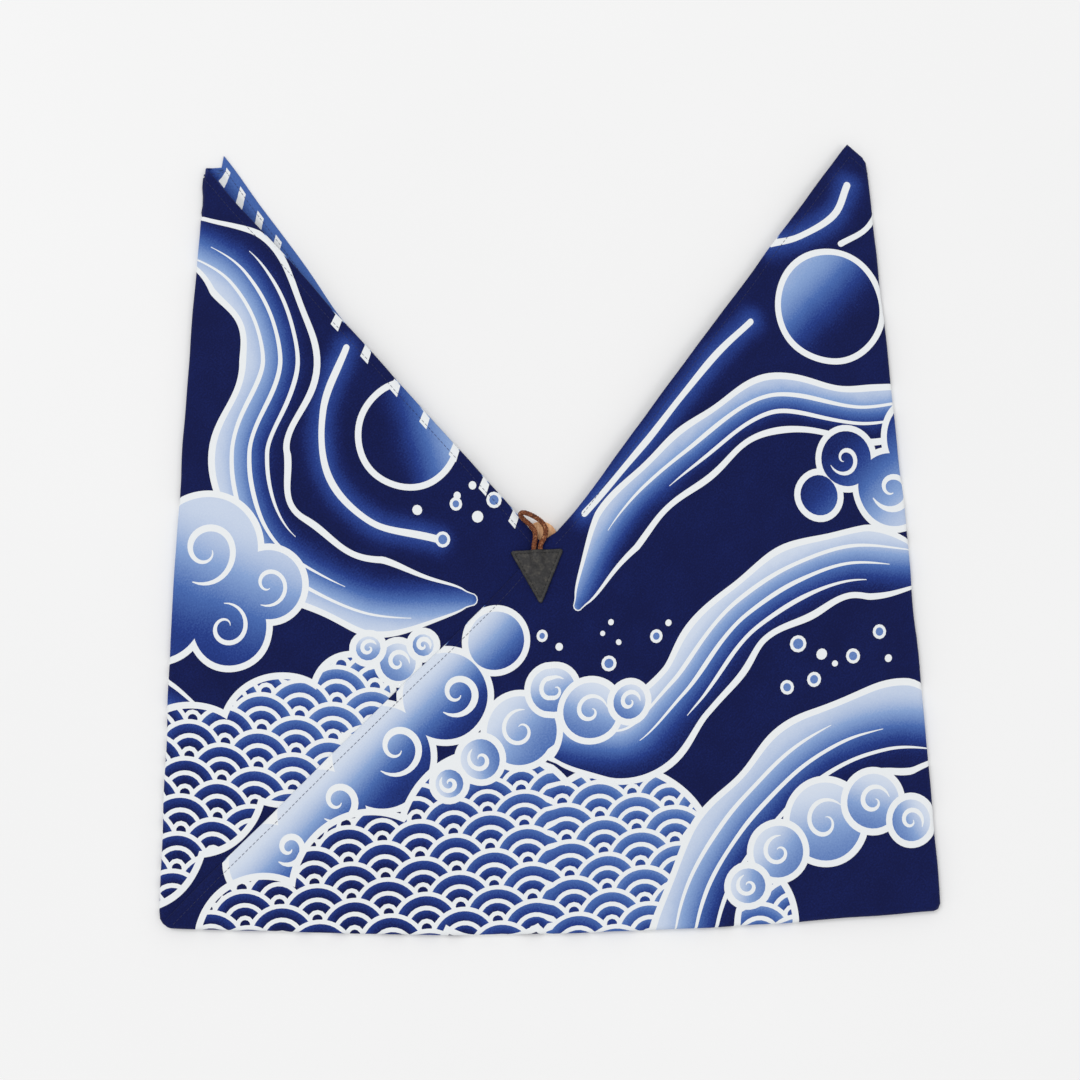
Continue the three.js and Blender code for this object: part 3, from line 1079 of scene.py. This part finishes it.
def glow(line, strength):
    """Dye that pales softly towards a line."""
    def shade(points):
        gap = np.min([segment_distance(points, a, b) for a, b in zip(line[:-1], line[1:])], axis=0)
        return 1 - strength * (1 - smooth(gap / GLOW_REACH))
    return shade


def circle(centre, radius):
    count = max(12, int(2 * math.pi * radius / CURVE_STEP))
    angle = np.arange(count) * 2 * math.pi / count
    return np.stack([np.cos(angle), np.sin(angle)], 1) * radius + np.array(centre)


def sideways(line):
    along = unit(np.gradient(line, axis=0))
    return along, np.stack([-along[:, 1], along[:, 0]], 1)


def brush(line, width, taper=0.0):
    """Outline of a round-ended brush stroke that thins out over the taper's share of it."""
    along, side = sideways(line)
    place = travelled(line)
    half = width / 2 * (1 + BRUSH_UNEVEN * np.sin(place / BRUSH_WAVE + line[0, 0]))
    if taper:
        share = place / place[-1]
        half *= np.sqrt(np.clip(np.minimum(share, 1 - share) / taper, BRUSH_THINNEST, 1))
    half = half[:, None]
    aside, out = np.sin(BRUSH_CAP), np.cos(BRUSH_CAP)
    start = line[0] + half[0] * (side[0] * aside - along[0] * out)
    end = line[-1] + half[-1] * (along[-1] * out - side[-1] * aside)
    return np.vstack([start, line + side * half, end, (line - side * half)[::-1]])


def stroke(zone, points, width, strength=0.0):
    """A white line, on a ground that pales around it by the strength of its glow."""
    line = spline(points, CURVE_STEP)
    if strength:
        paint(zone, brush(line, 2 * GLOW_REACH), glow(line, strength))
    paint(zone, brush(line, width), even(0))


def curl(zone, centre, radius, start, turns, width=LINE):
    """A line that winds in from its start angle, in degrees."""
    length = abs(turns) * 2 * math.pi * radius
    count = int(length / CURVE_STEP * CURL_DENSITY) + CURL_LEAST
    share = np.linspace(0, 1, count)
    angle = math.radians(start) + 2 * math.pi * turns * share
    reach = radius * (1 - (1 - CURL_END) * share)
    line = np.stack([np.cos(angle), np.sin(angle)], 1) * reach[:, None] + np.array(centre)
    paint(zone, brush(line, width, LINE_TAPER), even(0))


def cloud(zone, lobes, shade):
    """Round lobes that join into one shape with a white line around it."""
    for x, y, radius in lobes:
        paint(zone, circle((x, y), radius + LINE / 2), even(0))
    return [paint(zone, circle((x, y), radius - LINE / 2), shade) for x, y, radius in lobes]


def ball(zone, centre, radius, facing, pale, dark, far):
    """A disc that is pale on its facing side, and darkest at far radii on the other."""
    turn = math.radians(facing)
    out = np.array([math.cos(turn), math.sin(turn)]) * radius
    centre = np.array(centre, float)
    paint(zone, circle(centre, radius + LINE / 2), even(0))
    paint(zone, circle(centre, radius - LINE / 2),
          graded(centre + out, centre - out * far, pale, dark))


def moon(zone, centre, radius, facing):
    ball(zone, centre, radius, facing, pale=0.3, dark=1.0, far=0.6)


def foam(zone, puffs, dark):
    """Balls of foam with a curl in each: place, radius and facing side."""
    for x, y, radius, facing in puffs:
        ball(zone, (x, y), radius, facing, pale=0.1, dark=dark, far=1.0)
        curl(zone, (x, y), radius * 0.56, facing - 60, 1.1, FINE_LINE)


def fan(zone, centre, base, frames):
    for size in FAN_RINGS:
        outer = FAN_RADIUS * size
        paint(zone, circle(centre, outer), even(0), frames)
        paint(zone, circle(centre, outer - FINE_LINE),
              rounded(centre, outer * FAN_CORE, outer, base, base - FAN_PALER), frames)


def fans(zone, frames, tilt, shade):
    """Rows of ringed fans, one over the other, shown inside the frames."""
    outlines = [to_plane(one) * zone for one in frames]
    low = np.min([one.min(0) for one in outlines], axis=0) - FAN_RADIUS
    high = np.max([one.max(0) for one in outlines], axis=0) + FAN_RADIUS
    reach = lengths(high - low) / 2
    turn = math.radians(tilt)
    right = np.array([math.cos(turn), math.sin(turn)])
    up = np.array([-right[1], right[0]])
    rows = int(reach / (FAN_RADIUS / 2))
    columns = int(reach / (2 * FAN_RADIUS)) + 1
    for row in range(rows, -rows, -1):
        for column in range(-columns, columns + 1):
            across = (2 * column + row % 2) * FAN_RADIUS
            centre = (low + high) / 2 + right * across + up * row * FAN_RADIUS / 2
            edge = circle(centre, FAN_RADIUS)
            if any(inside(edge, one).any() for one in outlines):
                fan(zone, centre, shade(centre[None])[0], frames)


def ribbon(zone, points, width, first, last, lines=3):
    """A stream with white edges, graded across, with fine lines that run along it."""
    line = spline(points, CURVE_STEP)
    side = sideways(line)[1]
    paint(zone, brush(line, width + LINE, STREAM_TAPER), even(0))
    body = paint(zone, brush(line, width - LINE, STREAM_TAPER),
                 beside(line, width / 2, first, last))
    for k in range(lines):
        inner = line + side * ((k + 1) / (lines + 1) - 0.5) * width
        cut = len(inner) * (k + 1) // (lines * 5 + 3)
        fine = brush(inner[cut:len(inner) - 2 * cut], FINE_LINE, LINE_TAPER)
        paint(zone, fine, even(0), [body])


def drops(zone, centre, spread, count, seed):
    """Spray: small white dots and rings thrown around a place."""
    chance = np.random.default_rng(seed)
    for _ in range(count):
        place = np.array(centre) + chance.normal(0, 1, 2) * spread
        radius = chance.uniform(*DROP_RADII)
        paint(zone, circle(place, radius), even(0))
        if radius > DROP_RING_FROM:
            paint(zone, circle(place, radius - DROP_RING_WIDTH), even(0.5))


# Pattern of the cloth: streams, foam, clouds and fans on a dark ground

def draw_front():
    stroke(FRONT, [(272, 270), (322, 314), (372, 362), (404, 386)], 4.4, 0.3)
    stroke(FRONT, [(484, 474), (472, 454), (446, 440), (424, 436)], 4.4, 0.3)
    stroke(FRONT, [(506, 462), (494, 444), (474, 434)], 3.8)
    moon(FRONT, (462, 392), 37, 130)
    ribbon(FRONT, [(560, 330), (480, 318), (412, 330), (352, 300), (300, 262), (268, 210)],
           34, 0.2, 1.0, 2)
    sky = [(492, 268, 26), (462, 290, 20), (520, 300, 30), (440, 268, 15)]
    cloud(FRONT, sky, graded((450, 300), (500, 240), 0.9, 0.2))
    curl(FRONT, (492, 268), 15, 200, 1.2)
    curl(FRONT, (461, 290), 11, 200, 1.1, FINE_LINE)

    bank = [(70, 44, 26), (104, 74, 31), (142, 112, 34), (182, 152, 30), (214, 188, 21)]
    cloud(FRONT, bank, graded((120, 122), (158, 86), 0.1, 0.86))
    for x, y, radius in [(84, 54, 11), (114, 84, 14), (152, 118, 18), (190, 154, 15)]:
        curl(FRONT, (x, y), radius, 235, 1.25)
    sea = [(70, -8, 44), (138, 26, 52), (214, 58, 60), (292, 44, 62), (356, 0, 50)]
    frames = cloud(FRONT, sea, even(0.9))
    fans(FRONT, frames, 6, graded((120, -20), (300, 110), 1.05, 0.72))
    ribbon(FRONT, [(330, -60), (352, 30), (408, 92), (470, 116), (540, 108)], 52, 1.0, 0.16)
    ribbon(FRONT, [(520, 214), (452, 222), (384, 196), (340, 150), (300, 118), (240, 126)],
           44, 0.12, 0.95)
    foam(FRONT, [(232, 130, 24, 140), (206, 112, 15, 190), (252, 156, 16, 110),
                 (276, 142, 20, 70), (302, 146, 13, 60), (186, 96, 11, 200)], 0.55)
    foam(FRONT, [(428, 62, 26, 100), (396, 46, 18, 140), (460, 72, 19, 70),
                 (484, 58, 15, 30), (376, 26, 13, 170)], 0.5)
    drops(FRONT, (284, 192), (26, 9), 8, 3910)
    drops(FRONT, (436, 160), (24, 8), 8, 3891)


def draw_left():
    stroke(LEFT, [(106, 372), (92, 330), (98, 288), (128, 260), (172, 252)], 4.4, 0.3)
    ribbon(LEFT, [(-30, 452), (34, 420), (62, 362), (46, 300), (66, 244), (128, 214), (196, 214)],
           46, 0.16, 1.0)
    moon(LEFT, (150, 318), 34, 20)
    sky = [(22, 236, 36), (64, 216, 24), (-12, 200, 38), (40, 188, 26)]
    cloud(LEFT, sky, graded((40, 260), (10, 170), 0.16, 0.8))
    curl(LEFT, (22, 236), 22, 250, 1.3)
    curl(LEFT, (64, 216), 14, 250, 1.1, FINE_LINE)
    curl(LEFT, (38, 188), 15, 100, -1.2, FINE_LINE)
    shore = [(20, 92, 46), (78, 120, 40), (122, 150, 26), (-20, 60, 50)]
    frames = cloud(LEFT, shore, even(0.9))
    fans(LEFT, frames, -4, graded((0, 60), (120, 160), 1.05, 0.72))
    foam(LEFT, [(150, 172, 14, 60), (130, 180, 10, 90), (166, 184, 9, 40)], 0.5)
    drops(LEFT, (184, 268), (14, 12), 7, 12)


def draw_back():
    ribbon(BACK, [(-40, 120), (60, 150), (140, 120), (230, 150), (330, 120), (440, 160), (560, 130)],
           44, 0.16, 1.0)
    sea = [(120, 250, 56), (190, 228, 44), (60, 280, 48), (230, 190, 30)]
    frames = cloud(BACK, sea, even(0.9))
    fans(BACK, frames, 8, graded((60, 200), (200, 300), 1.05, 0.72))
    foam(BACK, [(120, 308, 18, 100), (152, 300, 13, 60), (92, 314, 12, 120)], 0.5)
    moon(BACK, (400, 260), 44, 120)
    drops(BACK, (300, 220), (34, 20), 12, 21)


def draw_edges():
    """Slanted bars and a graded band along the mouth's left edge."""
    band = np.array([(-360.0, -6.0), (-120.0, -6.0), (-150.0, 30.0), (-360.0, 30.0)])
    add_shape(band, lambda points: 1 - 0.4 * smooth((26 - points[:, 1]) / 22)
              * smooth((-130 - points[:, 0]) / 90))
    for k in range(4):
        x = -345 + k * 21
        add_shape([(x, 3), (x + 7, 3), (x + 13, 13), (x + 6, 13)], even(0))
    for k in range(7):
        y = 152 + k * 29
        left = -THIRD - 1
        add_shape([(left, y), (left, y + 6), (left + 8, y + 10), (left + 8, y + 3)], even(0))


draw_back()
draw_front()
draw_left()
draw_edges()


# Folded cloth

def cloth_mesh(material):
    """Both faces of the cloth, with a round edge all along the strip's rim."""
    points, faces = flat_mesh()
    amounts = dye_amounts(points, faces)
    count = len(points)
    centre = lay(points)
    normal = cloth_normals(points)
    outer = centre + normal * CLOTH / 2
    inner = centre - normal * (CLOTH / 2 + hem_thickness(points))[:, None]

    rim = rim_loop(faces)
    along = points[np.roll(rim, -1)] - points[np.roll(rim, 1)]
    outward = unit(np.stack([along[:, 1], -along[:, 0]], 1))
    bulge = (CLOTH + hem_thickness(points[rim])) / 2
    middle = (outer[rim] + inner[rim]) / 2 + directions(points[rim], outward) * bulge[:, None]
    band = []
    for k, a in enumerate(rim):
        after = (k + 1) % len(rim)
        b = rim[after]
        band.append((a, 2 * count + k, 2 * count + after, b))
        band.append((count + b, 2 * count + after, 2 * count + k, count + a))
    every = [tuple(f) for f in faces] + [tuple(f[::-1]) for f in faces + count] + band
    piece = add_object("bag_cloth_folded", np.vstack([outer, inner, middle]) * MM, every, material)
    paint_cloth(piece.data, points, faces, amounts, rim)
    return piece


def paint_cloth(mesh, points, faces, amounts, rim):
    """Writes the dye, the weave's direction and the place on the flat map to each corner."""
    at_rim = np.ones(len(points))
    at_rim[faces.ravel()] = amounts.ravel()
    rim_share = np.linspace(0, 1, len(rim) + 1)
    dye, weave, flat = [], [], []
    for flip in (False, True):
        order = slice(None, None, -1) if flip else slice(None)
        corners = points[faces[:, order]].reshape(-1, 2)
        dye.append(amounts[:, order].ravel())
        weave.append(corners * MM)
        flat.append((corners + ALLOWANCE + (THIRD, 0)) / MAP_SIZE + (0, MAP_INNER * flip))
    for k in range(len(rim)):
        after = (k + 1) % len(rim)
        for pair, base in zip(((k, k, after, after), (after, after, k, k)), MAP_EDGES):
            corners = rim[list(pair)]
            dye.append(at_rim[corners])
            weave.append(points[corners] * MM)
            flat.append(np.array([(rim_share[k + (one != k)], base + MAP_EDGE_WIDTH * up)
                                  for one, up in zip(pair, (0, 1, 1, 0))]))
    attribute = mesh.attributes.new("dye", "FLOAT", "CORNER")
    attribute.data.foreach_set("value", np.concatenate(dye))
    for name, places in (("weave", weave), ("OFBake", flat)):
        layer = mesh.uv_layers.new(name=name)
        layer.uv.foreach_set("vector", np.vstack(places).ravel())


def make_cloth():
    piece = cloth_mesh(cloth_material())
    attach(piece, "root")
    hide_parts("bag_cloth")


make_cloth()


# Leather patch

def inset_corner(corners, k, inset):
    """Where a corner goes when both of its sides move inward, and the sides' directions."""
    back = unit(corners[k - 1] - corners[k])
    ahead = unit(corners[(k + 1) % 3] - corners[k])
    half = math.acos(float(back @ ahead)) / 2
    return corners[k] + unit(back + ahead) * inset / math.sin(half), back, ahead


def patch_outline():
    """The triangle with round corners."""
    outline = []
    for k, corner in enumerate(PATCH_CORNERS):
        centre, back, ahead = inset_corner(PATCH_CORNERS, k, PATCH_CORNER_RADIUS)
        first = corner + back * ((centre - corner) @ back) - centre
        last = corner + ahead * ((centre - corner) @ ahead) - centre
        start = math.atan2(first[1], first[0])
        sweep = (math.atan2(last[1], last[0]) - start + math.pi) % (2 * math.pi) - math.pi
        for angle in start + sweep * np.linspace(0, 1, PATCH_CORNER_STEPS):
            outline.append(centre + PATCH_CORNER_RADIUS * np.array([np.cos(angle), np.sin(angle)]))
    closed = np.vstack([outline, outline[:1]])
    dense = []
    for start, end in zip(closed[:-1], closed[1:]):
        count = int(lengths(end - start) / PATCH_OUTLINE_STEP) + 2
        dense.extend(between(start, end, count)[:-1])
    return np.array(dense)


def patch_height(points, outline):
    """Height of the patch's upper face: round at its edge, and raised over the cord's ends."""
    depth = outline_distance(points, outline)
    round_edge = np.sqrt(1 - (1 - np.clip(depth / PATCH_ROUND_WIDTH, 0, 1)) ** 2)
    over_cord = (np.exp(-((points[:, 0] - BULGE_X) / BULGE_HALF_WIDTH) ** 4)
                 * smooth((points[:, 1] - BULGE_END_Y) / BULGE_FADE))
    groove = np.exp(-((depth - PATCH_STITCH_INSET) / PATCH_GROOVE_WIDTH) ** 2)
    return (PATCH_BOTTOM + PATCH_RIM + PATCH_ROUND_RISE * round_edge
            + BULGE_HEIGHT * over_cord - PATCH_GROOVE_DEPTH * groove)


def patch_mesh(outline):
    """Flat triangles of the patch, with rings of vertices close to its edge."""
    low, high = outline.min(0), outline.max(0)
    grid = np.stack(np.meshgrid(np.arange(low[0], high[0], PATCH_GRID_STEP),
                                np.arange(low[1], high[1], PATCH_GRID_STEP)), -1).reshape(-1, 2)
    apart = outline_distance(grid, outline) > PATCH_GRID_INSET
    flat = [outline, grid[inside(grid, outline) & apart]]
    to_centre = unit(outline.mean(0) - outline)
    for inset in PATCH_EDGE_RINGS:
        flat.append(outline + to_centre * inset)
    edges = [(k, (k + 1) % len(outline)) for k in range(len(outline))]
    return triangulate(np.vstack(flat), edges, outline, PATCH_MERGE_DISTANCE)


def make_patch():
    outline = patch_outline()
    points, faces = patch_mesh(outline)
    count = len(points)
    top = patch_height(points, outline)
    upper = np.column_stack([points, top])
    lower = np.column_stack([points, np.maximum(top - PATCH_THICKNESS, PATCH_BOTTOM)])
    rim = rim_loop(faces)
    lower[rim, 2] = top[rim] - PATCH_RIM
    after = np.roll(rim, -1)
    band = np.stack([rim, count + rim, count + after, after], 1)
    every = [tuple(f) for f in faces] + [tuple(f[::-1]) for f in faces + count] + list(band)
    piece = add_object("front_patch_leather", np.vstack([upper, lower]) * MM, every,
                       leather_material())
    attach(piece, "root")
    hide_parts("front_patch")


make_patch()


# Stitches

def stitch_mesh(name, starts, ends, normals, radius, material):
    """Short rounded stitches that dip into the cloth at both ends."""
    share, size, lift = np.array(STITCH_PROFILE).T[:, :, None]
    vertices, faces = [], []
    for start, end, normal in zip(starts, ends, normals):
        side = unit(np.cross(normal, end - start))
        centre = start + (end - start) * share + normal * radius * lift
        add_tube(centre, side[None], normal[None], radius * size, STITCH_SIDES, vertices, faces)
    piece = add_object(name, np.array(vertices) * MM, faces, material)
    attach(piece, "root")


def seam_lines():
    """Where the strip is stitched: its four mouth hems and its two folded seams."""
    base, top = HEM_STITCH, STRIP_WIDTH - HEM_STITCH
    low, high = -THIRD + HEM_STITCH, 2 * THIRD - HEM_STITCH
    return [
        ((low, STRIP_WIDTH + STITCH_PAST_EDGE), (low, base)),
        ((low, base), (-STITCH_FOLD_GAP, base)),
        ((high, -STITCH_PAST_EDGE), (high, top)),
        ((high, top), (THIRD + STITCH_FOLD_GAP, top)),
        ((STITCH_LAP_GAP, top), (THIRD - STITCH_FOLD_GAP, top)),
        ((THIRD - STITCH_LAP_GAP, base), (STITCH_FOLD_GAP, base)),
    ]


def make_cloth_stitches():
    lines = [between(a, b, int(math.dist(a, b) / STITCH_PITCH) + 1) for a, b in seam_lines()]
    steps = np.vstack([np.diff(line, axis=0) for line in lines])
    starts = np.vstack([line[:-1] for line in lines])
    ends = starts + steps * STITCH_LENGTH / STITCH_PITCH
    middles = (starts + ends) / 2
    normal = cloth_normals(middles)
    first, last = lay(starts), lay(ends)
    outer = normal * (CLOTH / 2 + STITCH_RADIUS * STITCH_STAND)
    inner = -normal * (CLOTH / 2 + HEM_EXTRA + STITCH_RADIUS * STITCH_STAND)
    hems = hem_depths(middles)[1] > HEM_WIDTH
    above = (first + outer)[:, 2] > STITCH_RADIUS * STITCH_CLEAR
    stitch_mesh(
        "hem_stitches",
        np.vstack([(first + outer)[above], (first + inner)[hems]]),
        np.vstack([(last + outer)[above], (last + inner)[hems]]),
        np.vstack([normal[above], -normal[hems]]),
        STITCH_RADIUS,
        thread_material("navy_thread", (20, 24, 58), (34, 40, 84)),
    )


def make_patch_stitches():
    outline = patch_outline()
    corners = [inset_corner(PATCH_CORNERS, k, PATCH_STITCH_INSET)[0] for k in (0, 1, 2, 0)]
    lines = [between(a, b, round(math.dist(a, b) / PATCH_STITCH_PITCH) + 1)
             for a, b in zip(corners[:-1], corners[1:])]
    steps = np.vstack([np.diff(line, axis=0) for line in lines])
    starts = np.vstack([line[:-1] for line in lines]) + steps * PATCH_STITCH_GAP
    ends = starts + steps * (1 - 2 * PATCH_STITCH_GAP)
    lift = PATCH_STITCH_RADIUS * STITCH_STAND
    stitch_mesh(
        "patch_stitches",
        np.column_stack([starts, patch_height(starts, outline) + lift]),
        np.column_stack([ends, patch_height(ends, outline) + lift]),
        np.tile((0.0, 0.0, 1.0), (len(starts), 1)),
        PATCH_STITCH_RADIUS,
        thread_material("black_thread", (8, 8, 9), (22, 21, 21)),
    )


make_cloth_stitches()
make_patch_stitches()


# Button and its tie keep their own shapes

def dress(name, material):
    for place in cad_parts[name].material_slots:
        place.material = material


dress("wooden_button", wood_material())
dress("button_tie", CORD_MATERIAL)


# Floor and lights

def make_floor():
    corners = [(x * FLOOR_HALF, y * FLOOR_HALF, FLOOR_LEVEL)
               for x, y in ((-1, -1), (1, -1), (1, 1), (-1, 1))]
    floor = add_object("studio_floor", corners, [(0, 1, 2, 3)], floor_material())


def make_lamp(name, place, power, size):
    data = bpy.data.lights.new(name, "AREA")
    data.shape = "DISK"
    data.size = size
    data.energy = power
    lamp = bpy.data.objects.new(name, data)
    lamp.location = place
    lamp.rotation_euler = (-Vector(place)).to_track_quat("-Z", "Y").to_euler()
    bpy.context.scene.collection.objects.link(lamp)


def make_world():
    """Even light for the object, and the floor's own pale tone for whoever looks past it."""
    world = bpy.data.worlds.new("studio")
    world.use_nodes = True
    tree = world.node_tree
    path = tree.nodes.new("ShaderNodeLightPath").outputs
    direct = maths(tree, "MAXIMUM", path["Is Camera Ray"], path["Is Glossy Ray"])
    direct = maths(tree, "MAXIMUM", direct, path["Is Transmission Ray"])
    light = tree.nodes["Background"]
    light.inputs["Color"].default_value = (1, 1, 1, 1)
    light.inputs["Strength"].default_value = WORLD_LIGHT
    seen = node(tree, "ShaderNodeBackground", Color=srgb(*BACKDROP))
    blend = tree.nodes.new("ShaderNodeMixShader")
    for source, socket in zip((direct, light.outputs[0], seen.outputs[0]), blend.inputs):
        tree.links.new(source, socket)
    tree.links.new(blend.outputs[0], tree.nodes["World Output"].inputs[0])
    bpy.context.scene.world = world


make_floor()
make_lamp("key_light", KEY_PLACE, power=105, size=2.6)
make_lamp("fill_light", FILL_PLACE, power=40, size=3.0)
make_world()
bpy.context.scene.view_settings.view_transform = "Standard"
